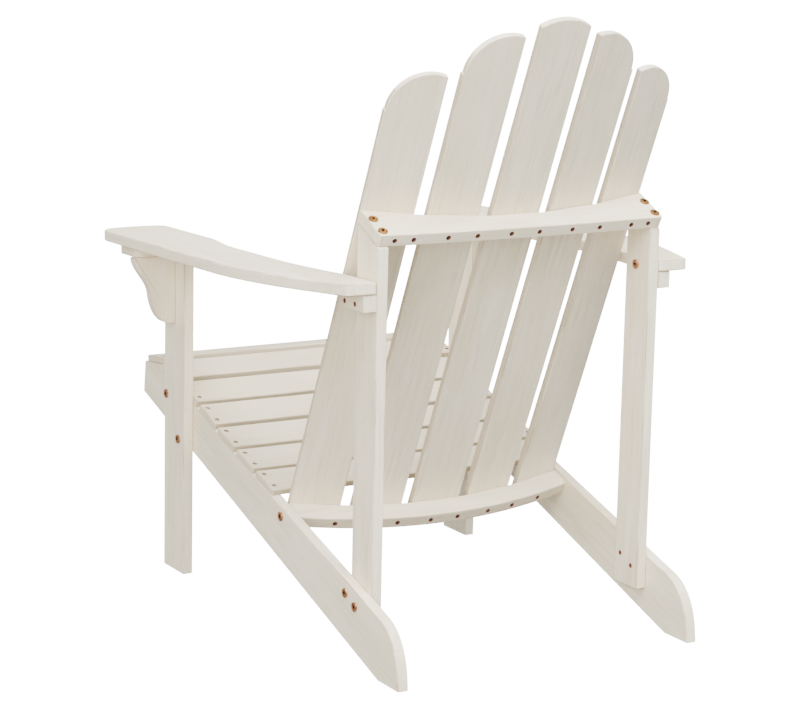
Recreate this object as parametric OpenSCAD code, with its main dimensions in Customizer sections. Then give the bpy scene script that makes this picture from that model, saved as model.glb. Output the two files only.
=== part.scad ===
// Adirondack chair: a low garden chair of flat boards, with a reclined slatted back,
// broad arms, a dished slatted seat and two long side rails that are also its rear feet.
// Millimetres, +Z up. The origin is on the floor below the middle of the chair.
// The sitter looks towards -Y, and the sitter's left is +X.

/* [Boards] */
// Thickness of the rails, legs, posts, arms and brackets
board_t = 18; // [16:0.5:19]
// Thickness of the two curved back rails
rail_t = 20; // [18:0.5:21]
// Thickness of the back slats
back_t = 11.5; // [10:0.5:13]
// Thickness of the seat slats
seat_t = 11; // [9:0.5:12]

/* [Frame] */
// Width over the outer faces of the two side rails
frame_w = 538; // [520:1:560]
// Depth of a front leg, front edge to rear edge
leg_w = 75.5; // [70:0.5:80]
// Depth of a rear post, front edge to rear edge
post_w = 62; // [58:0.5:65]
// Distance from the front legs' front edge to the rear posts' front edge
post_y = 584.5; // [580:0.5:590]
// Height of the rear posts' lower ends above the floor
post_z = 58.8; // [50:0.1:70]
// Distance the rails' front ends stand out before the front legs
nose_y = 122; // [118:1:126]
// Distance from the front legs' front edge to the rails' rear tips
toe_y = 761; // [758:1:764]

/* [Seat] */
// Width of one seat slat
seat_slat_w = 62; // [60:0.5:63]

/* [Back] */
// Lean of the back from upright, in degrees
back_tilt = 23.1; // [22:0.05:24]
// Distance of the middle slat's rear face from the leaning base line
back_n = 308.6; // [307:0.1:311]
// Turn of the two slats next to the middle one, in degrees
mid_turn = 7; // [6:0.1:8]
// Turn of the two outer slats, in degrees
outer_turn = 13; // [12:0.1:14]
// Tilt of the two curved back rails, in degrees
rail_tilt = 25.5; // [25:0.1:26]

/* [Arms] */
// Height of the arms' underside at the rear end
arm_z = 569; // [565:0.5:573]
// Distance from the front legs' front edge to the arms' rear end
arm_y = 649; // [647:0.5:651]
// Fall of the arms towards the front, in degrees
arm_tilt = 1.29; // [1:0.01:1.5]
// Distance from the middle plane to the arms' outer edge
arm_out = 374.5; // [370:0.5:380]

/* [Fasteners] */
// Diameter of the bolts' shanks
bolt_d = 6; // [5:0.5:6]
// Diameter of the bolts' flat heads
bolt_head_d = 15; // [13:0.5:16]
// Diameter of the screws' shanks
screw_d = 4; // [3.5:0.1:4.5]
// Diameter of the screws' heads
screw_head_d = 7.6; // [7:0.1:8]

/* [Hidden] */
$fn = 48;

// Depths (y) are counted from the front legs' front edge, and the finished chair is moved
// forward by mid_y, so that the origin is below the middle of its box.
mid_y = (toe_y - nose_y) / 2;
wood = [0.85, 0.82, 0.77];
brassy = [0.72, 0.6, 0.38];
steel = [0.55, 0.53, 0.5];
big = 1000;
clear = 0.1;

// Faces of the boards, as distances from the middle plane
rail_out = frame_w / 2;
rail_in = rail_out - board_t;
post_in = rail_in - board_t;
leg_out = rail_out + board_t;

// Side rail: the underside runs straight down from the nose to the foot
nose_z = 274.5;
nose_top = [-nose_y + 6, 329.3];
foot_y = 700;
foot_tip = [toe_y - 1.5, 12];
foot_curve = [[toe_y - 6, 63], [toe_y - 33, 88.4]];
foot_top = [toe_y - 60, 96.8];
curve_steps = 14;
wide_arc_fn = 360;

// Seat slats, front to back: front lower corner's depth and height, and tilt in degrees
SEAT = [[-104.5, 330.5, 6], [-37.5, 332.5, -15.5], [29, 310.5, -21], [95.5, 285, -19.5],
    [163.5, 260.5, -18], [231.5, 238.5, -16.5], [299, 218.5, -16.5]];
seat_screw_side = 18;
seat_screw_x = rail_out - board_t / 2;
seat_screw_len = 28;
seat_recess = 3;

// Back: the slats' rear faces stand on a folded plane, symmetric about the middle.
// It is drawn in the back's own frame: x across, n out of the rear face, L up the slats.
fold_x = [50, 155.5, 252.5];
fold_n = [0, -(fold_x[1] - fold_x[0]) * tan(mid_turn),
    -(fold_x[1] - fold_x[0]) * tan(mid_turn) - (fold_x[2] - fold_x[1]) * tan(outer_turn)];
slat_foot = 307.5;

// Middle, next and outer slat: x of the inner and outer edge at the foot and at the top,
// then x, L and radius of the arched top
SLAT_EDGES = [[-44.8, 44.8, -42.7, 42.7], [61.2, 146.6, 64.2, 149.2],
    [165.9, 248.9, 168.5, 250.5]];
SLAT_TOPS = [[0, 1185, 83], [81.7, 1158.8, 65], [187.1, 1090.7, 63]];
SLAT_TURN = [0, mid_turn, outer_turn];
SLAT_FOLD = [[0, 0], [fold_x[0], fold_n[0]], [fold_x[1], fold_n[1]]];

// Curved back rails: depth and height of the rear edge of the top face
upper_y = 653;
upper_z = 655.7;
lower_y = 420;
lower_z = 174;
upper_bulge = 3;
upper_steps = 24;
upper_corner = 4;
lower_bulge = 27.4;
lower_chord = 219.6;
lower_r = (lower_chord * lower_chord + lower_bulge * lower_bulge) / (2 * lower_bulge);
rail_reach = 110;
UPPER_SCREWS = [[24.8], [84.2, 134.6], [193.4, 225.3]];
LOWER_SCREWS = [[25], [84.6, 134.1], [189.8]];
slat_screw_len = 35;
slat_bite = 8;

// Arms, brackets, plates and cleats
arm_in_front = 256.5;
arm_in_waist = 272;
arm_in_rear = 252;
arm_rear_w = 49.5;
arm_len = 724;
arm_corner = 34;
bracket_y0 = 25.5;
bracket_top_x = 362;
bracket_top_z = 545;
bracket_foot_z = 424.3;
plate_y0 = -28;
plate_w = 74;
plate_out = 359.5;
plate_corner = 17;
cleat_h = 26.5;
cleat_t = 22.5;

// Bolts: depth and height of each axis, and lengths under the head
LEG_BOLTS = [[9.4, 298.2], [55.3, 229.6]];
POST_BOLTS = [[599.6, 108.2], [628.9, 94.2]];
LOWER_BOLT = [390.1, 175.7];
ARM_BOLT = [611.3, 576.8];
UPPER_BOLTS = [-42.8, -11.4];
upper_bolt_x = 242;
bolt_head_h = 2.4;
bolt_len = 31;
lower_bolt_len = 55;
upper_bolt_len = 45;
arm_bolt_len = 62;
socket_d = 4.6;
socket_deep = 1.8;
nut_d = 8;
nut_len = 12;
nut_wall = 2;
screw_head_h = 2.6;
screw_tip = 4;
CLEAT_SCREWS = [[589.6, 552.1], [620.2, 552.1]];
cleat_screw_len = 34;
BRACKET_SCREWS = [452, 506];
bracket_screw_len = 45;
PLATE_SCREWS = [[308, -12], [342, -12], [308, 34], [342, 34]];
plate_screw_len = 30;
small_recess = 2.5;

// ---- Helpers ----

// A point of the cubic curve from a to d with handles b and c
function curve_point(a, b, c, d, t) =
    pow(1 - t, 3) * a + 3 * pow(1 - t, 2) * t * b + 3 * (1 - t) * t * t * c + pow(t, 3) * d;

// The points of that curve, without its first point
function curve(a, b, c, d, steps = curve_steps) =
    [for (i = [1:steps]) curve_point(a, b, c, d, i / steps)];

// Rear lower corner of a seat slat
function seat_rear(s) = [s[0] + seat_slat_w * cos(s[2]), s[1] + seat_slat_w * sin(s[2])];

// Distance of the folded rear plane from the middle slat's rear face, at x
function fold_at(x) = abs(x) < fold_x[0] ? 0
    : abs(x) < fold_x[1] ? -(abs(x) - fold_x[0]) * tan(mid_turn)
    : fold_n[1] - (abs(x) - fold_x[1]) * tan(outer_turn);

// Distance of a back rail's rear edge line from the base line of the back
function line_n(y, z) = y * cos(back_tilt) - z * sin(back_tilt);

module on_side(side) {
    if (side > 0) children();
    else mirror([1, 0, 0]) children();
}

module both_sides() {
    children();
    mirror([1, 0, 0]) children();
}

// Brings the chair's own depths to the final frame
module chair() translate([0, -mid_y, 0]) children();

// A board across x, from a profile drawn in depth and height
module board_x(x0, x1) translate([x0, 0, 0]) rotate([90, 0, 90]) linear_extrude(x1 - x0) children();

// A board across y, from a profile drawn in x and height
module board_y(y0, y1) translate([0, y1, 0]) rotate([90, 0, 0]) linear_extrude(y1 - y0) children();

module back_frame() rotate([-back_tilt, 0, 0]) translate([0, back_n, 0]) children();

module upper_frame() translate([0, upper_y, upper_z]) rotate([-rail_tilt, 0, 0]) children();

module lower_frame() translate([0, lower_y, lower_z]) rotate([-rail_tilt, 0, 0]) children();

module arm_frame() translate([0, arm_y, arm_z]) rotate([arm_tilt, 0, 0]) children();

// Everything above a level of the arm frame
module above_arm(level) arm_frame() translate([0, -big, level]) cube([big, 2 * big, big]);

// Everything before the slats' rear faces
module before_back() back_frame() linear_extrude(2 * big)
    polygon([[-fold_x[2], fold_n[2]], [-fold_x[1], fold_n[1]], [-fold_x[0], fold_n[0]],
        [fold_x[0], fold_n[0]], [fold_x[1], fold_n[1]], [fold_x[2], fold_n[2]],
        [fold_x[2], -big], [-fold_x[2], -big]]);

// ---- Fasteners: each one's head sits at z = 0 and its shank points to -Z ----

module bolt(length) difference() {
    rotate_extrude()
        polygon([[0, -length], [bolt_d / 2, -length], [bolt_d / 2, 0], [bolt_head_d / 2, 0],
            [bolt_head_d / 2, bolt_head_h / 2], [bolt_head_d / 2 - 1, bolt_head_h], [0, bolt_head_h]]);
    translate([0, 0, bolt_head_h - socket_deep]) cylinder(d = socket_d, h = big, $fn = 6);
}

module bolt_bore(length) translate([0, 0, -length - clear])
    cylinder(d = bolt_d + 2 * clear, h = length + bolt_d);

// A sleeve nut: its closed end with a hexagon socket is at z = 0
module nut() difference() {
    translate([0, 0, -nut_len]) cylinder(d = nut_d - 2 * clear, h = nut_len);
    translate([0, 0, -big - nut_wall]) cylinder(d = bolt_d + 2 * clear, h = big);
    translate([0, 0, -nut_wall / 2]) cylinder(d = socket_d, h = big, $fn = 6);
}

module nut_bore() translate([0, 0, -nut_len - clear]) cylinder(d = nut_d, h = nut_len + bolt_d);

module screw(length) difference() {
    rotate_extrude()
        polygon([[0, -length], [screw_d / 8, -length], [screw_d / 2, -length + screw_tip],
            [screw_d / 2, -screw_head_h], [screw_head_d / 2, -screw_head_h / 4],
            [screw_head_d / 2, 0], [0, 0]]);
    for (turn = [0, 90])
        rotate([0, 0, turn]) translate([-screw_d / 2, -screw_d / 8, -screw_head_h / 2])
            cube([screw_d, screw_d / 4, screw_head_h]);
}

module screw_bore(length, recess) {
    translate([0, 0, -length - clear]) cylinder(d = screw_d + 2 * clear, h = length);
    translate([0, 0, -screw_head_h - clear])
        cylinder(d = screw_head_d + 4 * clear, h = screw_head_h + clear + recess);
}

module at_leg_bolts() for (p = LEG_BOLTS) translate([leg_out, p[0], p[1]]) rotate([0, 90, 0]) children();

module at_leg_nuts() for (p = LEG_BOLTS) translate([rail_in, p[0], p[1]]) rotate([0, -90, 0]) children();

module at_post_bolts() for (p = POST_BOLTS) translate([rail_out, p[0], p[1]]) rotate([0, 90, 0]) children();

module at_post_nuts() for (p = POST_BOLTS) translate([post_in, p[0], p[1]]) rotate([0, -90, 0]) children();

module at_lower_bolt() translate([rail_out, LOWER_BOLT[0], LOWER_BOLT[1]]) rotate([0, 90, 0]) children();

module at_arm_bolt() translate([post_in, ARM_BOLT[0], ARM_BOLT[1]]) rotate([0, -90, 0]) children();

module at_upper_bolts() upper_frame()
    for (y = UPPER_BOLTS) translate([upper_bolt_x, y, 0]) children();

module at_cleat_screws() for (p = CLEAT_SCREWS)
    translate([rail_in + cleat_t - small_recess, p[0], p[1]]) rotate([0, 90, 0]) children();

module at_bracket_screws() for (z = BRACKET_SCREWS)
    translate([rail_out + small_recess, bracket_y0 + board_t / 2, z]) rotate([0, -90, 0]) children();

module at_plate_screws() arm_frame() for (p = PLATE_SCREWS)
    translate([p[0], p[1] - arm_y, -board_t + small_recess]) rotate([180, 0, 0]) children();

module at_seat_screws(s) translate([0, s[0], s[1]]) rotate([s[2], 0, 0])
    for (side = [-1, 1])
        translate([seat_screw_x, seat_slat_w / 2 + side * seat_screw_side, seat_t - seat_recess])
            children();

// Screws through the curved rails into one slat's rear face, at x
module at_slat_screw(x, y, z) translate([x, y, z]) rotate([-rail_tilt, 0, 0])
    translate([0, back_n + fold_at(x) - line_n(y, z) + slat_screw_len - slat_bite, -rail_t / 2])
        rotate([-90, 0, 0]) children();

module at_upper_screws(i) for (x = UPPER_SCREWS[i]) at_slat_screw(x, upper_y, upper_z) children();

module at_lower_screws(i) for (x = LOWER_SCREWS[i]) at_slat_screw(x, lower_y, lower_z) children();

// ---- Boards ----

module side_rail(side) on_side(side) color(wood) difference() {
    board_x(rail_in, rail_out) polygon(concat(
        [[foot_y, 0], [-nose_y, nose_z], nose_top],
        [for (s = SEAT) for (p = [[s[0], s[1]], seat_rear(s)]) p],
        [foot_top],
        curve(foot_top, foot_curve[1], foot_curve[0], foot_tip),
        [[toe_y, 0]]));
    at_leg_bolts() bolt_bore(bolt_len);
    at_leg_nuts() nut_bore();
    at_post_bolts() bolt_bore(bolt_len);
    at_lower_bolt() bolt_bore(lower_bolt_len);
    for (s = SEAT) at_seat_screws(s) screw_bore(seat_screw_len, 0);
}

module front_leg(side) on_side(side) color(wood) difference() {
    translate([rail_out, 0, 0]) cube([board_t, leg_w, arm_z]);
    above_arm(0);
    at_leg_bolts() bolt_bore(bolt_len);
    at_bracket_screws() screw_bore(bracket_screw_len, big);
}

module rear_post(side) on_side(side) color(wood) difference() {
    translate([post_in, post_y, post_z]) cube([board_t, post_w, upper_z]);
    upper_frame() translate([0, -big, -rail_t]) cube([big, 2 * big, big]);
    at_post_bolts() bolt_bore(bolt_len);
    at_post_nuts() nut_bore();
    at_arm_bolt() bolt_bore(arm_bolt_len);
    at_upper_bolts() bolt_bore(upper_bolt_len);
    at_cleat_screws() screw_bore(cleat_screw_len, 0);
}

// A point of the upper rail's rear edge, which bows out a little between its ends, for t from -1 to 1
function upper_edge(t) = [rail_in * t, upper_bulge * (1 - t * t)];

// The upper rail's outline: a nearly straight rear edge with round corners
module upper_outline() {
    intersection() {
        polygon(concat([[rail_in, -rail_reach], [-rail_in, -rail_reach]],
            [for (i = [0:upper_steps]) upper_edge(2 * i / upper_steps - 1)]));
        union() {
            translate([-rail_in, -2 * rail_reach - upper_corner]) square([2 * rail_in, 2 * rail_reach]);
            translate([-rail_in + upper_corner, -rail_reach])
                square([2 * (rail_in - upper_corner), 2 * rail_reach]);
            for (side = [-1, 1])
                translate([side * (rail_in - upper_corner), -upper_corner]) circle(r = upper_corner);
        }
    }
}

module upper_back_rail() color(wood) difference() {
    upper_frame() translate([0, 0, -rail_t]) linear_extrude(rail_t) upper_outline();
    before_back();
    both_sides() at_upper_bolts() bolt_bore(upper_bolt_len);
    for (i = [0:2]) both_sides() at_upper_screws(i) screw_bore(slat_screw_len, rail_reach);
}

module lower_back_rail() color(wood) difference() {
    lower_frame() translate([0, 0, -rail_t]) linear_extrude(rail_t) intersection() {
        translate([-rail_in, -rail_reach]) square([2 * rail_in, 2 * rail_reach]);
        translate([0, lower_bulge - lower_r]) circle(r = lower_r, $fn = wide_arc_fn);
    }
    before_back();
    both_sides() at_lower_bolt() bolt_bore(lower_bolt_len);
    for (i = [0:2]) both_sides() at_lower_screws(i) screw_bore(slat_screw_len, rail_reach);
}

// Back slat i of a half: 0 in the middle, 1 next to it, 2 outside. Its outline is drawn on its
// own rear face, across from the fold where that face starts.
module back_slat(i, side = 1) on_side(side) {
    edges = SLAT_EDGES[i];
    top = SLAT_TOPS[i];
    slope = cos(SLAT_TURN[i]);
    start = SLAT_FOLD[i];
    mid_l = top[1] - top[2];
    color(wood) difference() {
        back_frame() translate([start[0], start[1], 0]) rotate([0, 0, -SLAT_TURN[i]])
            translate([-start[0] / slope, 0, 0]) rotate([90, 0, 0]) linear_extrude(back_t)
                intersection() {
                    polygon([[edges[0] / slope, slat_foot], [edges[1] / slope, slat_foot],
                        [edges[3] / slope, top[1]], [edges[2] / slope, top[1]]]);
                    union() {
                        translate([top[0] / slope, mid_l]) circle(r = top[2], $fn = 180);
                        translate([-big, 0]) square([2 * big, mid_l]);
                    }
                }
        if (i == 0) {
            both_sides() slat_bores(i);
        } else {
            slat_bores(i);
        }
    }
}

module slat_bores(i) {
    at_upper_screws(i) screw_bore(slat_screw_len, 0);
    at_lower_screws(i) screw_bore(slat_screw_len, 0);
}

module seat_slat(i) color(wood) difference() {
    translate([-rail_out, SEAT[i][0], SEAT[i][1]]) rotate([SEAT[i][2], 0, 0])
        cube([frame_w, seat_slat_w, seat_t]);
    both_sides() at_seat_screws(SEAT[i]) screw_bore(seat_screw_len, big);
}

// The arm's plan: a waisted inner edge, a swept outer edge and round front corners
module arm_outline() {
    rear_out = arm_in_rear + arm_rear_w;
    polygon(concat(
        [[arm_in_rear, -6]],
        curve([arm_in_rear, -6], [arm_in_rear, -2], [arm_in_rear + 2, 0], [arm_in_rear + 6, 0], 4),
        [[rear_out - 6, 0]],
        curve([rear_out - 6, 0], [rear_out - 1, 0], [rear_out + 2, -2], [rear_out + 4, -7], 4),
        curve([rear_out + 4, -7], [rear_out + 28, -82], [arm_out, -168], [arm_out, -310]),
        [[arm_out, arm_corner + 2 - arm_len]],
        curve([arm_out, arm_corner + 2 - arm_len], [arm_out, 14 - arm_len],
            [arm_out - 14, 4 - arm_len], [arm_out - arm_corner, 2 - arm_len], 8),
        curve([arm_out - arm_corner, 2 - arm_len], [arm_out - 50, -arm_len],
            [arm_in_front + 45, -arm_len], [arm_in_front + 22, 3 - arm_len], 8),
        curve([arm_in_front + 22, 3 - arm_len], [arm_in_front + 8, 5 - arm_len],
            [arm_in_front, 10 - arm_len], [arm_in_front, 23 - arm_len], 8),
        [[arm_in_front, -539]],
        curve([arm_in_front, -539], [arm_in_front, -500], [arm_in_waist, -465], [arm_in_waist, -419]),
        [[arm_in_waist, -260]],
        curve([arm_in_waist, -260], [arm_in_waist - 3, -200], [arm_in_rear + 8, -130],
            [arm_in_rear, -94])));
}

module arm(side) on_side(side) color(wood) difference() {
    arm_frame() linear_extrude(board_t) arm_outline();
    at_arm_bolt() bolt_bore(arm_bolt_len);
    at_plate_screws() screw_bore(plate_screw_len, 0);
}

module arm_bracket(side) on_side(side) color(wood) difference() {
    board_y(bracket_y0, bracket_y0 + board_t) polygon(concat(
        [[leg_out, bracket_foot_z], [leg_out, bracket_top_z], [bracket_top_x, bracket_top_z],
            [bracket_top_x, 537]],
        curve([bracket_top_x, 537], [bracket_top_x, 515], [335, 498], [332.5, 475.2]),
        curve([332.5, 475.2], [330, 453], [319, 426], [300, bracket_foot_z])));
    above_arm(-board_t);
    at_bracket_screws() screw_bore(bracket_screw_len, 0);
}

module bracket_plate(side) on_side(side) color(wood) difference() {
    arm_frame() translate([0, plate_y0 - arm_y, -board_t]) linear_extrude(board_t) union() {
        translate([leg_out, 0]) square([plate_out - plate_corner - leg_out, plate_w]);
        translate([leg_out, plate_corner]) square([plate_out - leg_out, plate_w - 2 * plate_corner]);
        for (y = [plate_corner, plate_w - plate_corner])
            translate([plate_out - plate_corner, y]) circle(r = plate_corner);
    }
    at_plate_screws() screw_bore(plate_screw_len, big);
}

module arm_cleat(side) on_side(side) color(wood) difference() {
    translate([rail_in, post_y, arm_z - 2 * cleat_h]) cube([cleat_t, post_w, 3 * cleat_h]);
    above_arm(0);
    arm_frame() translate([0, -big, -big - cleat_h]) cube([big, 2 * big, big]);
    at_cleat_screws() screw_bore(cleat_screw_len, big);
}

// ---- Groups of fasteners ----

module leg_bolts() color(brassy) both_sides() at_leg_bolts() bolt(bolt_len);

module leg_bolt_nuts() color(steel) both_sides() at_leg_nuts() nut();

module post_bolts() color(brassy) both_sides() at_post_bolts() bolt(bolt_len);

module post_bolt_nuts() color(steel) both_sides() at_post_nuts() nut();

module upper_rail_bolts() color(brassy) both_sides() at_upper_bolts() bolt(upper_bolt_len);

module lower_rail_bolts() color(brassy) both_sides() at_lower_bolt() bolt(lower_bolt_len);

module arm_bolts() color(steel) both_sides() at_arm_bolt() bolt(arm_bolt_len);

module upper_rail_screws() color(steel) both_sides() for (i = [0:2]) at_upper_screws(i) screw(slat_screw_len);

module lower_rail_screws() color(steel) both_sides() for (i = [0:2]) at_lower_screws(i) screw(slat_screw_len);

module seat_screws() color(steel) both_sides() for (s = SEAT) at_seat_screws(s) screw(seat_screw_len);

module cleat_screws() color(steel) both_sides() at_cleat_screws() screw(cleat_screw_len);

module bracket_screws() color(steel) both_sides() at_bracket_screws() screw(bracket_screw_len);

module plate_screws() color(steel) both_sides() at_plate_screws() screw(plate_screw_len);

chair() side_rail(1);  // side_rail_left
chair() side_rail(-1);  // side_rail_right
chair() front_leg(1);  // front_leg_left
chair() front_leg(-1);  // front_leg_right
chair() rear_post(1);  // rear_post_left
chair() rear_post(-1);  // rear_post_right
chair() upper_back_rail();
chair() lower_back_rail();
chair() back_slat(2);  // back_slat_1
chair() back_slat(1);  // back_slat_2
chair() back_slat(0);  // back_slat_3
chair() back_slat(1, -1);  // back_slat_4
chair() back_slat(2, -1);  // back_slat_5
chair() seat_slat(0);  // seat_slat_1
chair() seat_slat(1);  // seat_slat_2
chair() seat_slat(2);  // seat_slat_3
chair() seat_slat(3);  // seat_slat_4
chair() seat_slat(4);  // seat_slat_5
chair() seat_slat(5);  // seat_slat_6
chair() seat_slat(6);  // seat_slat_7
chair() arm(1);  // arm_left
chair() arm(-1);  // arm_right
chair() arm_bracket(1);  // arm_bracket_left
chair() arm_bracket(-1);  // arm_bracket_right
chair() bracket_plate(1);  // bracket_plate_left
chair() bracket_plate(-1);  // bracket_plate_right
chair() arm_cleat(1);  // arm_cleat_left
chair() arm_cleat(-1);  // arm_cleat_right
chair() leg_bolts();
chair() leg_bolt_nuts();
chair() post_bolts();
chair() post_bolt_nuts();
chair() upper_rail_bolts();
chair() lower_rail_bolts();
chair() arm_bolts();
chair() upper_rail_screws();
chair() lower_rail_screws();
chair() seat_screws();
chair() cleat_screws();
chair() bracket_screws();
chair() plate_screws();
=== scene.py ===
"""Adirondack chair of whitewashed boards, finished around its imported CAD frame.

Every board is an eased copy of its CAD node: the same solid with the arrises rounded over as
sandpaper leaves them, its screw holes bare inside, and one grain direction. The bolts are
turned again with a domed head and a deep hexagon socket. Lengths are metres, +Z is up, the
sitter looks towards -Y and the sitter's left is +X.
"""

import logging
import math
from dataclasses import dataclass, field
from enum import Enum

import bmesh
import bpy
import numpy as np
from mathutils import Matrix, Vector


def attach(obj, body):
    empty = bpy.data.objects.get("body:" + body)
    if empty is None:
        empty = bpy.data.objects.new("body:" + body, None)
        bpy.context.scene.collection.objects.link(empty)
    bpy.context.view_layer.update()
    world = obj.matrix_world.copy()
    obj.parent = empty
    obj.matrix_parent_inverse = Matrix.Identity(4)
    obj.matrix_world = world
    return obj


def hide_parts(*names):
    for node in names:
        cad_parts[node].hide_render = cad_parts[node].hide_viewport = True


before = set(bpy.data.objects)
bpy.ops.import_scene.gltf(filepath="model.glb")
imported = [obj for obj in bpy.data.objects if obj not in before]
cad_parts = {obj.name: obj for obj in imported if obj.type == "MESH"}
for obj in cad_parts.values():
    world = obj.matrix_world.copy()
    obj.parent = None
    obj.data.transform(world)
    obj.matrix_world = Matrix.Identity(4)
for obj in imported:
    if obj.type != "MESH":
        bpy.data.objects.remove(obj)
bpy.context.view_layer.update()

log = logging.getLogger("adirondack_chair")

MM = 0.001
BODY = "root"
GRAIN = "grain"
ARRIS = "arris"
# Vertex attribute holding each vertex's share of painted shade
PAINTED_SHADE = "painted_shade"
# Vertices closer than this are one vertex
SAME_POINT = 0.01 * MM
# Stops of a ramp: position and grey level, from left to right
Stops = tuple[tuple[float, float], ...]


# ---- Small helpers ----


def colour(code: str) -> tuple[float, float, float, float]:
    """Turns an sRGB hex colour to linear light.

    Args:
        code: Six hex digits after a hash sign.

    Returns:
        Red, green, blue and an alpha of 1.
    """
    levels = [int(code[i:i + 2], 16) / 255 for i in (1, 3, 5)]
    linear = [v / 12.92 if v <= 0.04045 else ((v + 0.055) / 1.055) ** 2.4 for v in levels]
    return (*linear, 1.0)


def add_node(tree: bpy.types.NodeTree, kind: str, settings: dict | None = None,
             links: dict | None = None) -> bpy.types.Node:
    """Adds one node, sets it up and links its inputs.

    Args:
        tree: Node tree that takes the node.
        kind: Blender's type name of the node.
        settings: Property names or input sockets, and their values.
        links: Input sockets, and the output sockets that feed them.

    Returns:
        The new node.
    """
    node = tree.nodes.new(kind)
    for key, value in (settings or {}).items():
        if isinstance(key, str) and hasattr(node, key):
            setattr(node, key, value)
        else:
            node.inputs[key].default_value = value
    for key, source in (links or {}).items():
        tree.links.new(source, node.inputs[key])
    return node


def add_ramp(tree: bpy.types.NodeTree, source: bpy.types.NodeSocket, stops: Stops) -> bpy.types.NodeSocket:
    """Adds a colour ramp of grey stops.

    Args:
        tree: Node tree that takes the ramp.
        source: Output socket that feeds it.
        stops: Position and grey level of each stop, from left to right.

    Returns:
        The ramp's output.
    """
    node = add_node(tree, "ShaderNodeValToRGB", links={"Fac": source})
    ramp = node.color_ramp
    while len(ramp.elements) < len(stops):
        ramp.elements.new(1.0)
    for element, (place, level) in zip(ramp.elements, stops):
        element.position = place
        element.color = (level, level, level, 1.0)
    return node.outputs["Color"]


def mix_colour(tree: bpy.types.NodeTree, level: bpy.types.NodeSocket, under: bpy.types.NodeSocket | str,
               over: str) -> bpy.types.NodeSocket:
    """Adds a mix of two colours.

    Args:
        tree: Node tree that takes the mix.
        level: How much of the second colour shows.
        under: Output socket of the first colour, or its hex code.
        over: Hex code of the second colour.

    Returns:
        The mixed colour.
    """
    settings, links = {"data_type": "RGBA", 7: colour(over)}, {0: level}
    if isinstance(under, str):
        settings[6] = colour(under)
    else:
        links[6] = under
    return add_node(tree, "ShaderNodeMix", settings, links).outputs[2]


def new_material(name: str) -> tuple[bpy.types.Material, bpy.types.NodeTree, bpy.types.Node]:
    """Makes a material with an empty tree, a shader and an output.

    Args:
        name: The material's name.

    Returns:
        The material, its tree and its Principled shader.
    """
    material = bpy.data.materials.new(name)
    material.use_nodes = True
    tree = material.node_tree
    tree.nodes.clear()
    shader = add_node(tree, "ShaderNodeBsdfPrincipled")
    add_node(tree, "ShaderNodeOutputMaterial", links={"Surface": shader.outputs["BSDF"]})
    return material, tree, shader


# ---- Finishes ----


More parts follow.
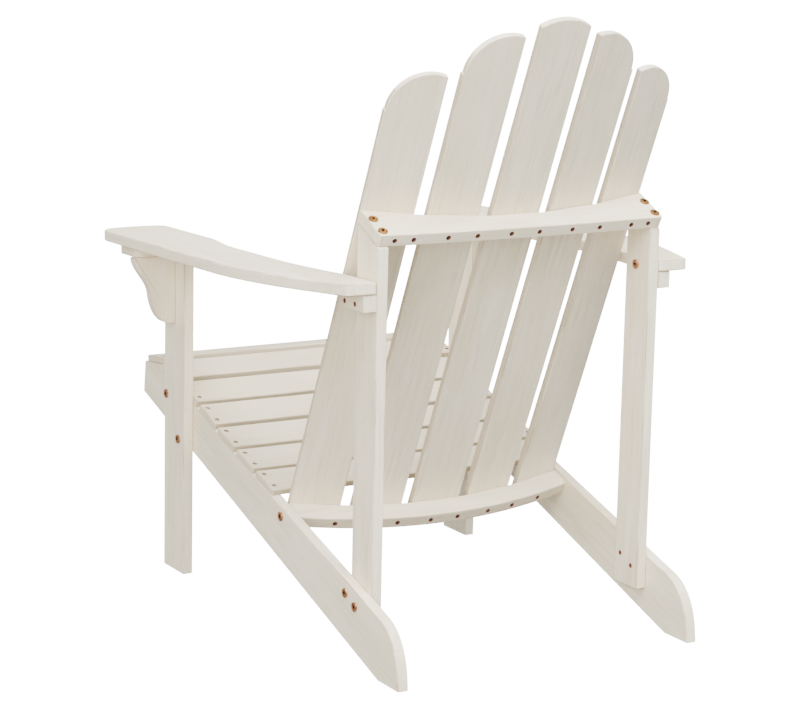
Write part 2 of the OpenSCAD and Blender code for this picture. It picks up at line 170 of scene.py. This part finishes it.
@dataclass(frozen=True)
class WhitewashedWood:
    """Hardwood under a thinly laid warm off-white wash, wiped back by rubbing.

    The wash leaves long grey-brown streaks along the grain and a slow change of tone from board to
    board. Bare wood shows where the arrises are worn through. The seat and the narrow faces of some
    boards carry painted shade, a darker tone standing in for the shade of the back, the arms and
    the neighbouring boards.
    """

    name: str = "whitewashed_hardwood"
    wash: str = "#F5E8CE"
    thin_wash: str = "#EADDBC"
    streak: str = "#B9AA8C"
    pore: str = "#A3926F"
    bare: str = "#A88D69"
    # Painted shade colour, laid on the seat and on narrow faces where the back, the arms and neighbouring boards shade
    # them
    painted_shade: str = "#B5A688"
    # Length and width of each pattern's features along the grain
    figure_mm: tuple[float, float] = (260.0, 48.0)
    streak_mm: tuple[float, float] = (110.0, 4.5)
    pore_mm: tuple[float, float] = (6.0, 0.9)
    patch_mm: tuple[float, float] = (110.0, 55.0)
    noise_rough: float = 0.55
    figure_stops: Stops = ((0.36, 0.0), (0.66, 1.0))
    streak_stops: Stops = ((0.46, 0.0), (0.76, 0.6))
    patch_stops: Stops = ((0.3, 0.25), (0.7, 1.0))
    pore_stops: Stops = ((0.58, 0.0), (0.76, 0.32))
    wear_stops: Stops = ((0.42, 0.08), (0.62, 0.75))
    # Roughness at a streak's two ends, and the relief that streaks and pores leave
    smooth: float = 0.54
    rough: float = 0.72
    relief: float = 0.5
    relief_mm: float = 0.3

    def pattern(self, tree: bpy.types.NodeTree, coords: bpy.types.NodeSocket,
                size_mm: tuple[float, float], detail: float, twist: float) -> bpy.types.NodeSocket:
        """Adds one noise pattern stretched along the grain.

        Args:
            tree: The material's tree.
            coords: Grain coordinates in metres, x along the board.
            size_mm: Length and width of the pattern's features.
            detail: Octaves of noise.
            twist: Distortion of the noise.

        Returns:
            The pattern's level, from 0 to 1.
        """
        along, across = (1 / (mm * MM) for mm in size_mm)
        mapping = add_node(tree, "ShaderNodeMapping", {"Scale": (along, across, across)},
                           {"Vector": coords})
        noise = add_node(tree, "ShaderNodeTexNoise",
                         {"Scale": 1.0, "Detail": detail, "Roughness": self.noise_rough,
                          "Distortion": twist},
                         {"Vector": mapping.outputs["Vector"]})
        return noise.outputs["Fac"]

    def build(self) -> bpy.types.Material:
        """Makes the material.

        Returns:
            The material.
        """
        material, tree, shader = new_material(self.name)
        coords = add_node(tree, "ShaderNodeAttribute", {"attribute_name": GRAIN}).outputs["Vector"]
        arris = add_node(tree, "ShaderNodeAttribute", {"attribute_name": ARRIS})
        shade_level = add_node(tree, "ShaderNodeAttribute", {"attribute_name": PAINTED_SHADE})

        figure = self.pattern(tree, coords, self.figure_mm, 3.0, 0.5)
        streaks = self.pattern(tree, coords, self.streak_mm, 5.0, 0.3)
        pores = self.pattern(tree, coords, self.pore_mm, 2.0, 0.0)
        patches = self.pattern(tree, coords, self.patch_mm, 3.0, 0.2)

        tone = mix_colour(tree, add_ramp(tree, figure, self.figure_stops), self.wash, self.thin_wash)
        streak_level = add_node(tree, "ShaderNodeMath", {"operation": "MULTIPLY"},
                                {0: add_ramp(tree, streaks, self.streak_stops),
                                 1: add_ramp(tree, patches, self.patch_stops)})
        streaked = mix_colour(tree, streak_level.outputs["Value"], tone, self.streak)
        pored = mix_colour(tree, add_ramp(tree, pores, self.pore_stops), streaked, self.pore)
        wear = add_node(tree, "ShaderNodeMath", {"operation": "MULTIPLY"},
                        {0: add_ramp(tree, patches, self.wear_stops), 1: arris.outputs["Fac"]})
        worn = mix_colour(tree, wear.outputs["Value"], pored, self.bare)
        # Painted shade: the vertex attribute darkens the wood towards the painted shade colour
        shaded = mix_colour(tree, shade_level.outputs["Fac"], worn, self.painted_shade)
        tree.links.new(shaded, shader.inputs["Base Color"])

        gloss = add_node(tree, "ShaderNodeMapRange", {"To Min": self.smooth, "To Max": self.rough},
                         {"Value": streaks})
        tree.links.new(gloss.outputs["Result"], shader.inputs["Roughness"])
        height = add_node(tree, "ShaderNodeMath", {"operation": "ADD"}, {0: streaks, 1: pores})
        bump = add_node(tree, "ShaderNodeBump", {"Strength": self.relief, "Distance": self.relief_mm * MM},
                        {"Height": height.outputs["Value"]})
        tree.links.new(bump.outputs["Normal"], shader.inputs["Normal"])
        return material


@dataclass(frozen=True)
class BoredWood:
    """Bare red-brown hardwood inside a bored hole, torn by the bit, its dark tone deepened by painted shade in the
    hole.
    """

    name: str = "bored_hardwood"
    light: str = "#8E5740"
    # Dark tone: partly the bare wood's own colour, partly painted shade inside the hole
    dark: str = "#452A1E"
    fibre_mm: float = 0.8
    roughness: float = 0.85
    relief: float = 0.6
    relief_mm: float = 0.2

    def build(self) -> bpy.types.Material:
        """Makes the material.

        Returns:
            The material.
        """
        material, tree, shader = new_material(self.name)
        place = add_node(tree, "ShaderNodeTexCoord")
        noise = add_node(tree, "ShaderNodeTexNoise", {"Scale": 1 / (self.fibre_mm * MM), "Detail": 3.0},
                         {"Vector": place.outputs["Object"]})
        tone = mix_colour(tree, noise.outputs["Fac"], self.dark, self.light)
        tree.links.new(tone, shader.inputs["Base Color"])
        shader.inputs["Roughness"].default_value = self.roughness
        bump = add_node(tree, "ShaderNodeBump", {"Strength": self.relief, "Distance": self.relief_mm * MM},
                        {"Height": noise.outputs["Fac"]})
        tree.links.new(bump.outputs["Normal"], shader.inputs["Normal"])
        return material


@dataclass(frozen=True)
class PlatedSteel:
    """Zinc-plated steel: passivated in uneven tints, with a dulled satin shine."""

    name: str
    bright: str
    dull: str
    tint_mm: float = 4.0
    roughness: float = 0.38
    metallic: float = 1.0
    tint_stops: Stops = ((0.35, 0.0), (0.65, 1.0))
    # How much smoother and rougher than its roughness the plate gets
    gloss_spread: tuple[float, float] = (-0.1, 0.14)
    relief: float = 0.2
    relief_mm: float = 0.05

    def build(self) -> bpy.types.Material:
        """Makes the material.

        Returns:
            The material.
        """
        material, tree, shader = new_material(self.name)
        place = add_node(tree, "ShaderNodeTexCoord")
        noise = add_node(tree, "ShaderNodeTexNoise", {"Scale": 1 / (self.tint_mm * MM), "Detail": 4.0},
                         {"Vector": place.outputs["Object"]})
        tints = add_ramp(tree, noise.outputs["Fac"], self.tint_stops)
        tone = mix_colour(tree, tints, self.bright, self.dull)
        tree.links.new(tone, shader.inputs["Base Color"])
        shader.inputs["Metallic"].default_value = self.metallic
        smooth, rough = (self.roughness + spread for spread in self.gloss_spread)
        gloss = add_node(tree, "ShaderNodeMapRange", {"To Min": smooth, "To Max": rough},
                         {"Value": noise.outputs["Fac"]})
        tree.links.new(gloss.outputs["Result"], shader.inputs["Roughness"])
        bump = add_node(tree, "ShaderNodeBump", {"Strength": self.relief, "Distance": self.relief_mm * MM},
                        {"Height": noise.outputs["Fac"]})
        tree.links.new(bump.outputs["Normal"], shader.inputs["Normal"])
        return material


class Finish(Enum):
    """The record's material slots of the pieces made here."""

    WOOD = "whitewashed_wood"
    YELLOW_ZINC = "yellow_zinc_steel"


class Palette:
    """The materials, each made once."""

    def __init__(self) -> None:
        """Builds every finish."""
        self.wood = WhitewashedWood().build()
        self.bored = BoredWood().build()
        # Seat hole tones: washed wood, the darker tone partly painted shade inside the hole
        self.washed_bore = BoredWood("washed_bored_hardwood", light="#A3937A", dark="#5F513F").build()
        self.zinc = PlatedSteel("yellow_zinc_plate", "#DDA67A", "#9A6643").build()
        self.gold = PlatedSteel("bright_yellow_zinc_plate", "#B88A50", "#6E4A24").build()
        self.copper = PlatedSteel("browned_zinc_plate", "#B9785A", "#7C4A34").build()
        self.dark_steel = PlatedSteel("dulled_screw_steel", "#8E6A58", "#4E362A", roughness=0.5).build()
        self.washed_steel = PlatedSteel("washed_over_screw_steel", "#D2C7B2", "#A99B80", roughness=0.7,
                                        metallic=0.0).build()
        # Near-black colour inside each bolt's hexagon socket
        self.socket = PlatedSteel("near_black_socket", "#33241B", "#1C130E", roughness=0.7).build()


# ---- Pieces ----


def finish_piece(name: str, bm: bmesh.types.BMesh, materials: list[bpy.types.Material], node: str) -> bpy.types.Object:
    """Turns a bmesh to a finished piece that rides on the chair and replaces a CAD node.

    Args:
        name: The piece's name.
        bm: Its mesh, in the chair's frame. It is freed.
        materials: Materials in slot order.
        node: The CAD node that it stands for.

    Returns:
        The piece.
    """
    mesh = bpy.data.meshes.new(name)
    bm.to_mesh(mesh)
    bm.free()
    piece = bpy.data.objects.new(name, mesh)
    bpy.context.scene.collection.objects.link(piece)
    for material in materials:
        mesh.materials.append(material)
    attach(piece, BODY)
    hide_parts(node)
    return piece


@dataclass
class Board:
    """One wooden board, eased from its CAD node.

    The grain follows the board's longest straight edge unless a direction is given, and the
    broad faces are those that look along its thickness.
    """

    node: str
    ease: float = 2.6 * MM
    grain: Vector | None = None
    bore: str = "bored"
    # How much painted shade darkens the broad and the narrow faces, from 0 to 1
    painted_shade_faces: float = 0.0
    painted_shade_edges: float = 0.0
    segments: int = 4
    # Screw holes: a wall facet is no wider than this and has no more corners than these, a floor is
    # no broader than this, and this share of its neighbours are walls
    hole_facet: float = 1.1 * MM
    hole_corners: int = 6
    hole_floor: float = 9 * MM
    hole_share: float = 0.6
    # Angles: facets of one plane, a hollow, an arris of a broad face, any other arris, a sharp edge
    flat_angle: float = math.radians(1)
    hollow_angle: float = math.radians(0.5)
    arris_angle: float = math.radians(20)
    corner_angle: float = math.radians(48)
    smooth_angle: float = math.radians(38)
    # Cosines between a face and the board's thickness, and between a face and its width
    broad_match: float = 0.999
    narrow_match: float = 0.9
    # How far the next board's grain is moved along, across and through
    grain_step: tuple[float, float, float] = (3.37, 1.13, 0.71)

    def hole_walls(self, bm: bmesh.types.BMesh) -> set[bmesh.types.BMFace]:
        """Finds the facets of the bored holes.

        Args:
            bm: The board's merged mesh.

        Returns:
            The walls of the holes, and the flat floors and steps inside them.
        """
        walls = set()
        for face in bm.faces:
            hollow = [e for e in face.edges if e.calc_face_angle_signed(0.0) < -self.hollow_angle]
            narrow = min(e.calc_length() for e in face.edges) < self.hole_facet
            if narrow and len(face.verts) <= self.hole_corners and len(hollow) >= 2:
                walls.add(face)
        for face in bm.faces:
            if face not in walls and face.calc_area() < self.hole_floor ** 2:
                around = [f for e in face.edges for f in e.link_faces if f is not face]
                sunk = any(e.calc_face_angle_signed(0.0) < -self.hollow_angle for e in face.edges)
                if sunk and sum(f in walls for f in around) >= self.hole_share * len(around):
                    walls.add(face)
        return walls

    def axes(self, bm: bmesh.types.BMesh, walls: set[bmesh.types.BMFace]) -> Matrix:
        """Finds the board's own directions.

        Args:
            bm: The board's merged mesh.
            walls: Facets of its holes, which don't count.

        Returns:
            A matrix whose rows are the grain, the width and the thickness.
        """
        outer = [f for f in bm.faces if f not in walls]
        broad = max(outer, key=lambda f: f.calc_area()).normal.copy()
        along = self.grain
        if along is None:
            edges = [e for f in outer for e in f.edges if e.calc_face_angle(0.0) > self.corner_angle]
            longest = max(edges, key=lambda e: e.calc_length())
            along = longest.verts[1].co - longest.verts[0].co
        along = (along - broad * along.dot(broad)).normalized()
        return Matrix((along, broad.cross(along), broad))

    def build(self, palette: Palette, serial: int) -> bpy.types.Object:
        """Eases the board and dresses it.

        Args:
            palette: The chair's materials.
            serial: The board's number, which picks its own stretch of grain.

        Returns:
            The board.
        """
        bm = bmesh.new()
        bm.from_mesh(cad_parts[self.node].data)
        bmesh.ops.remove_doubles(bm, verts=bm.verts, dist=SAME_POINT)
        bmesh.ops.dissolve_limit(bm, angle_limit=self.flat_angle, verts=bm.verts, edges=bm.edges)
        walls = self.hole_walls(bm)
        basis = self.axes(bm, walls)
        broad = basis.row[2]
        for face in walls:
            face.material_index = 1
        arrises = []
        for edge in bm.edges:
            if walls.intersection(edge.link_faces) or len(edge.link_faces) != 2:
                continue
            flat = [abs(f.normal.dot(broad)) > self.broad_match for f in edge.link_faces]
            turn = edge.calc_face_angle_signed(0.0)
            if flat[0] != flat[1] and turn > self.arris_angle or turn > self.corner_angle:
                arrises.append(edge)
        eased = bmesh.ops.bevel(bm, geom=arrises, offset=self.ease, offset_type="OFFSET",
                                segments=self.segments, profile=0.5, affect="EDGES", material=-1,
                                clamp_overlap=False)
        fresh = set(eased["faces"])
        arris = bm.verts.layers.float.new(ARRIS)
        grain = bm.verts.layers.float_vector.new(GRAIN)
        painted_shade = bm.verts.layers.float.new(PAINTED_SHADE)
        shift = Vector(self.grain_step) * serial
        for vert in bm.verts:
            narrow = [abs(f.normal.dot(basis.row[1])) > self.narrow_match and f.material_index == 0
                      and f not in fresh for f in vert.link_faces]
            # Painted shade share: narrow faces take the edge share, all other faces the face share
            vert[painted_shade] = self.painted_shade_edges if any(narrow) else self.painted_shade_faces
            rounded = bool(vert.link_faces) and all(f in fresh for f in vert.link_faces)
            vert[arris] = 1.0 if rounded else 0.0
            vert[grain] = basis @ vert.co + shift
        for face in bm.faces:
            face.smooth = True
        piece = finish_piece(f"{self.node}_board", bm, [palette.wood, getattr(palette, self.bore)],
                             self.node)
        piece.data.set_sharp_from_angle(angle=self.smooth_angle)
        weighted = piece.modifiers.new("even_faces", "WEIGHTED_NORMAL")
        weighted.keep_sharp = True
        return piece


@dataclass
class Bolts:
    """A group of flat-headed bolts with a hexagon socket, turned again from their CAD node."""

    node: str
    finish: str = "zinc"
    shank_d: float = 6 * MM
    socket_flats: float = 4.4 * MM
    socket_deep: float = 1.9 * MM
    rim: float = 0.7 * MM
    # The flat on top of the head starts at this share of its radius
    flat_share: float = 0.62
    sides: int = 48
    # Points further out than this share of the radius belong to the head
    head_share: float = 0.8
    smooth_angle: float = math.radians(40)

    def axes(self) -> list[tuple[Vector, Vector, float, float, float]]:
        """Reads each bolt's place from the CAD node.

        Returns:
            For each bolt the middle of its head's top, its direction out of the head, its whole
            length, its head's height and its head's radius.
        """
        bm = bmesh.new()
        bm.from_mesh(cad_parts[self.node].data)
        bmesh.ops.remove_doubles(bm, verts=bm.verts, dist=SAME_POINT)
        found = []
        left = set(bm.verts)
        while left:
            island, queue = set(), [left.pop()]
            while queue:
                vert = queue.pop()
                island.add(vert)
                for edge in vert.link_edges:
                    other = edge.other_vert(vert)
                    if other in left:
                        left.remove(other)
                        queue.append(other)
            points = np.array([v.co for v in island])
            middle = (points.max(0) + points.min(0)) / 2
            values, vectors = np.linalg.eigh(np.cov((points - points.mean(0)).T))
            spreads = sorted(values)
            odd = 0 if spreads[1] - spreads[0] > spreads[2] - spreads[1] else 2
            axis = vectors[:, odd]
            along = (points - middle) @ axis
            axis_line = points.mean(0) - axis * ((points.mean(0) - middle) @ axis)
            away = np.linalg.norm(points - axis_line - np.outer((points - axis_line) @ axis, axis), axis=1)
            wide = away > away.max() * self.head_share
            if along[wide].mean() < 0:
                axis, along = -axis, -along
            top = axis_line + axis * (along.max() + (middle - axis_line) @ axis)
            height = along.max() - along[wide].min()
            found.append((Vector(top), Vector(axis), along.max() - along.min(), height, away.max()))
        bm.free()
        return found

    def add(self, bm: bmesh.types.BMesh, length: float, height: float, radius: float) -> None:
        """Adds one bolt to a mesh, its head's top at the origin and its shank down -Z.

        Args:
            bm: Mesh that takes the bolt.
            length: Whole length.
            height: Height of the head.
            radius: Radius of the head.
        """
        shank = bmesh.ops.create_circle(bm, cap_ends=True, segments=self.sides, radius=self.shank_d / 2)
        tip = shank["verts"][0].link_faces[0]
        bmesh.ops.translate(bm, verts=shank["verts"], vec=(0, 0, -length))
        if tip.normal.z > 0:
            bmesh.ops.reverse_faces(bm, faces=[tip])
        rings = [(self.shank_d / 2, -height), (radius, -height), (radius, -self.rim),
                 (radius - 0.3 * self.rim, -0.3 * self.rim), (radius - self.rim, 0.0),
                 (self.flat_share * radius, 0.0)]
        edges = list(tip.edges)
        for wide, level in rings:
            grown = bmesh.ops.extrude_edge_only(bm, edges=edges)
            verts = [g for g in grown["geom"] if isinstance(g, bmesh.types.BMVert)]
            edges = [g for g in grown["geom"] if isinstance(g, bmesh.types.BMEdge)
                     and all(v in verts for v in g.verts)]
            for vert in verts:
                flat = Vector((vert.co.x, vert.co.y, 0)).normalized() * wide
                vert.co = (flat.x, flat.y, level)
        for deep in (0.0, self.socket_deep):
            grown = bmesh.ops.extrude_edge_only(bm, edges=edges)
            verts = [g for g in grown["geom"] if isinstance(g, bmesh.types.BMVert)]
            faces = [g for g in grown["geom"] if isinstance(g, bmesh.types.BMFace)]
            edges = [g for g in grown["geom"] if isinstance(g, bmesh.types.BMEdge)
                     and all(v in verts for v in g.verts)]
            for vert in verts:
                turn = math.atan2(vert.co.y, vert.co.x)
                sixth = math.radians(60)
                reach = self.socket_flats / 2 / math.cos((turn % sixth) - sixth / 2)
                vert.co = (reach * math.cos(turn), reach * math.sin(turn), -deep)
            if deep:
                for face in faces:
                    face.material_index = 1
        floor = bmesh.ops.contextual_create(bm, geom=edges)["faces"]
        for face in floor:
            face.material_index = 1

    def build(self, palette: Palette) -> bpy.types.Object:
        """Turns the bolts and plates them.

        Args:
            palette: The chair's materials.

        Returns:
            The group of bolts.
        """
        group = bmesh.new()
        for top, axis, length, height, radius in self.axes():
            one = bmesh.new()
            self.add(one, length, height, radius)
            bmesh.ops.recalc_face_normals(one, faces=one.faces)
            one.transform(Matrix.Translation(top) @ axis.to_track_quat("Z", "Y").to_matrix().to_4x4())
            loose = bpy.data.meshes.new("bolt_blank")
            one.to_mesh(loose)
            one.free()
            group.from_mesh(loose)
            bpy.data.meshes.remove(loose)
        for face in group.faces:
            face.smooth = True
        piece = finish_piece(f"{self.node}_turned", group, [getattr(palette, self.finish), palette.socket],
                             self.node)
        piece.data.set_sharp_from_angle(angle=self.smooth_angle)
        return piece


# ---- Sub-assemblies ----


@dataclass
class SideFrames:
    """The side rails, front legs and rear posts."""

    ease: float = 2.0 * MM
    nodes: tuple[str, ...] = ("side_rail_left", "side_rail_right", "front_leg_left", "front_leg_right",
                              "rear_post_left", "rear_post_right")

    def boards(self) -> list[Board]:
        """Lists the boards."""
        return [Board(node, ease=self.ease) for node in self.nodes]


@dataclass
class Back:
    """The fan of back slats and the two curved rails that hold it."""

    slat_ease: float = 1.8 * MM
    rail_ease: float = 1.8 * MM
    # Painted shade on the slats' narrow faces and on the lower rail's, where neighbouring boards shade them
    painted_shade_edges: float = 0.6
    lower_rail_shade: float = 0.5

    def boards(self) -> list[Board]:
        """Lists the boards.

        Returns:
            The two curved rails and the slats.
        """
        across = Vector((1, 0, 0))
        rails = [Board("upper_back_rail", ease=self.rail_ease, grain=across),
                 Board("lower_back_rail", ease=self.rail_ease, grain=across, painted_shade_edges=self.lower_rail_shade)]
        return rails + [Board(f"back_slat_{i}", ease=self.slat_ease, painted_shade_edges=self.painted_shade_edges)
                        for i in range(1, 6)]


@dataclass
class Seat:
    """The dished row of seat slats."""

    ease: float = 1.8 * MM
    count: int = 7
    # Painted shade on the seat's faces and edges, where the back, the arms and the neighbouring slats shade them
    painted_shade_faces: float = 0.45
    painted_shade_edges: float = 0.95

    def boards(self) -> list[Board]:
        """Lists the boards.

        Returns:
            The slats, from the front.
        """
        return [Board(f"seat_slat_{i + 1}", ease=self.ease, bore="washed_bore",
                      painted_shade_faces=self.painted_shade_faces, painted_shade_edges=self.painted_shade_edges)
                for i in range(self.count)]


@dataclass
class Arms:
    """The arms, and the brackets, plates and cleats that carry them."""

    ease: float = 2.4 * MM
    small_ease: float = 1.6 * MM

    def boards(self) -> list[Board]:
        """Lists the boards.

        Returns:
            Each side's arm, bracket, plate and cleat.
        """
        parts = []
        for side in ("left", "right"):
            parts += [Board(f"arm_{side}", ease=self.ease),
                      Board(f"arm_bracket_{side}", ease=self.small_ease),
                      Board(f"bracket_plate_{side}", ease=self.small_ease),
                      Board(f"arm_cleat_{side}", ease=self.small_ease)]
        return parts


@dataclass
class Hardware:
    """The bolts, and the nuts and screws, which keep their CAD shape."""

    plated: tuple[str, ...] = ("leg_bolts", "post_bolts", "lower_rail_bolts", "arm_bolts")
    golden: tuple[str, ...] = ("upper_rail_bolts",)
    nuts: tuple[str, ...] = ("leg_bolt_nuts", "post_bolt_nuts")
    bare_screws: tuple[str, ...] = ("upper_rail_screws", "lower_rail_screws", "cleat_screws",
                                    "bracket_screws", "plate_screws")
    washed_screws: tuple[str, ...] = ("seat_screws",)

    def build(self, palette: Palette) -> None:
        """Turns the bolts and dresses the rest.

        Args:
            palette: The chair's materials.
        """
        for node in self.plated:
            log.info("made %s", Bolts(node).build(palette).name)
        for node in self.golden:
            log.info("made %s", Bolts(node, finish="gold").build(palette).name)
        dressed = ((self.nuts, palette.copper), (self.bare_screws, palette.dark_steel),
                   (self.washed_screws, palette.washed_steel))
        for nodes, steel in dressed:
            for node in nodes:
                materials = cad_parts[node].data.materials
                materials.clear()
                materials.append(steel)
                log.info("dressed %s", node)


# ---- Studio ----


@dataclass
class Studio:
    """Pale floor, soft light and the camera."""

    target: Vector = field(default_factory=lambda: Vector((0.04206, 0.04127, 0.40778)))
    azimuth: float = 149.4686
    elevation: float = 11.4985
    roll: float = 1.2564
    distance: float = 4.1072
    lens: float = 115.6
    sensor: float = 36.0
    floor_reach: float = 60.0
    floor_drop: float = 0.3 * MM
    floor_glow: float = 16.0
    box_distance: float = 4.5
    box_side: float = 3.0
    # The room's light comes most from above and behind the chair
    bright_side: tuple[float, float, float] = (0.3, 0.55, 0.78)
    dim: float = 0.15
    bright: float = 1.6

    def place_camera(self) -> None:
        """Stands the camera behind the chair, on the sitter's left."""
        a, e, r = (math.radians(v) for v in (self.azimuth, self.elevation, self.roll))
        back = Vector((math.sin(a) * math.cos(e), -math.cos(a) * math.cos(e), math.sin(e)))
        right = Vector((math.cos(a), math.sin(a), 0))
        up = back.cross(right)
        turned = (right * math.cos(r) + up * math.sin(r), up * math.cos(r) - right * math.sin(r), back)
        data = bpy.data.cameras.new("camera")
        data.lens = self.lens
        data.sensor_width = self.sensor
        camera = bpy.data.objects.new("camera", data)
        bpy.context.scene.collection.objects.link(camera)
        camera.matrix_world = (Matrix.Translation(self.target + back * self.distance)
                               @ Matrix(turned).transposed().to_4x4())
        bpy.context.scene.camera = camera

    def lay_floor(self) -> None:
        """Lays a plain pale floor under the chair."""
        bm = bmesh.new()
        bmesh.ops.create_circle(bm, cap_ends=True, segments=64, radius=self.floor_reach)
        bmesh.ops.translate(bm, verts=bm.verts, vec=(0, 0, -self.floor_drop))
        mesh = bpy.data.meshes.new("floor")
        bm.to_mesh(mesh)
        bm.free()
        floor = bpy.data.objects.new("floor", mesh)
        bpy.context.scene.collection.objects.link(floor)
        material, tree, shader = new_material("pale_floor")
        shader.inputs["Base Color"].default_value = colour("#F4F3F1")
        shader.inputs["Roughness"].default_value = 0.9
        shader.inputs["Emission Color"].default_value = colour("#FFFFFF")
        shader.inputs["Emission Strength"].default_value = self.floor_glow
        mesh.materials.append(material)
        floor.visible_diffuse = False
        floor.visible_glossy = False
        floor.visible_shadow = False

    def light(self) -> None:
        """Hangs the soft boxes and sets the room's even light."""
        world = bpy.data.worlds.new("studio")
        bpy.context.scene.world = world
        world.use_nodes = True
        sky = world.node_tree.nodes["Background"]
        sky.inputs["Color"].default_value = colour("#F7F8FB")
        around = add_node(world.node_tree, "ShaderNodeTexCoord")
        facing = add_node(world.node_tree, "ShaderNodeVectorMath", {"operation": "DOT_PRODUCT",
                                                                  1: self.bright_side},
                          {0: around.outputs["Generated"]})
        level = add_node(world.node_tree, "ShaderNodeMapRange", {"From Min": -1.0,
                                                               "To Min": self.dim, "To Max": self.bright},
                         {"Value": facing.outputs["Value"]})
        world.node_tree.links.new(level.outputs["Result"], sky.inputs["Strength"])
        self.soft_box("overhead", azimuth=182, elevation=62, watts=640, tint="#F8FAFF")
        self.soft_box("side", azimuth=125, elevation=16, watts=230, tint="#FFFDF8")

    def soft_box(self, name: str, azimuth: float, elevation: float, watts: float, tint: str) -> None:
        """Hangs one square soft box that looks at the chair.

        Args:
            name: The light's name.
            azimuth: Where it hangs, as for the camera, in degrees.
            elevation: Its height above the horizon, in degrees.
            watts: Its power.
            tint: Its colour.
        """
        a, e = math.radians(azimuth), math.radians(elevation)
        back = Vector((math.sin(a) * math.cos(e), -math.cos(a) * math.cos(e), math.sin(e)))
        data = bpy.data.lights.new(name, "AREA")
        data.size = self.box_side
        data.energy = watts
        data.color = colour(tint)[:3]
        lamp = bpy.data.objects.new(name, data)
        bpy.context.scene.collection.objects.link(lamp)
        lamp.matrix_world = (Matrix.Translation(self.target + back * self.box_distance)
                             @ back.to_track_quat("Z", "Y").to_matrix().to_4x4())


def main() -> None:
    """Builds the studio and the chair."""
    logging.basicConfig(level=logging.INFO, format="%(message)s")
    studio = Studio()
    studio.place_camera()
    studio.lay_floor()
    studio.light()
    palette = Palette()
    serial = 0
    for assembly in (SideFrames(), Back(), Seat(), Arms()):
        for board in assembly.boards():
            serial += 1
            piece = board.build(palette, serial)
            log.info("made %s, %d faces", piece.name, len(piece.data.polygons))
    Hardware().build(palette)


if __name__ == "__main__":
    main()
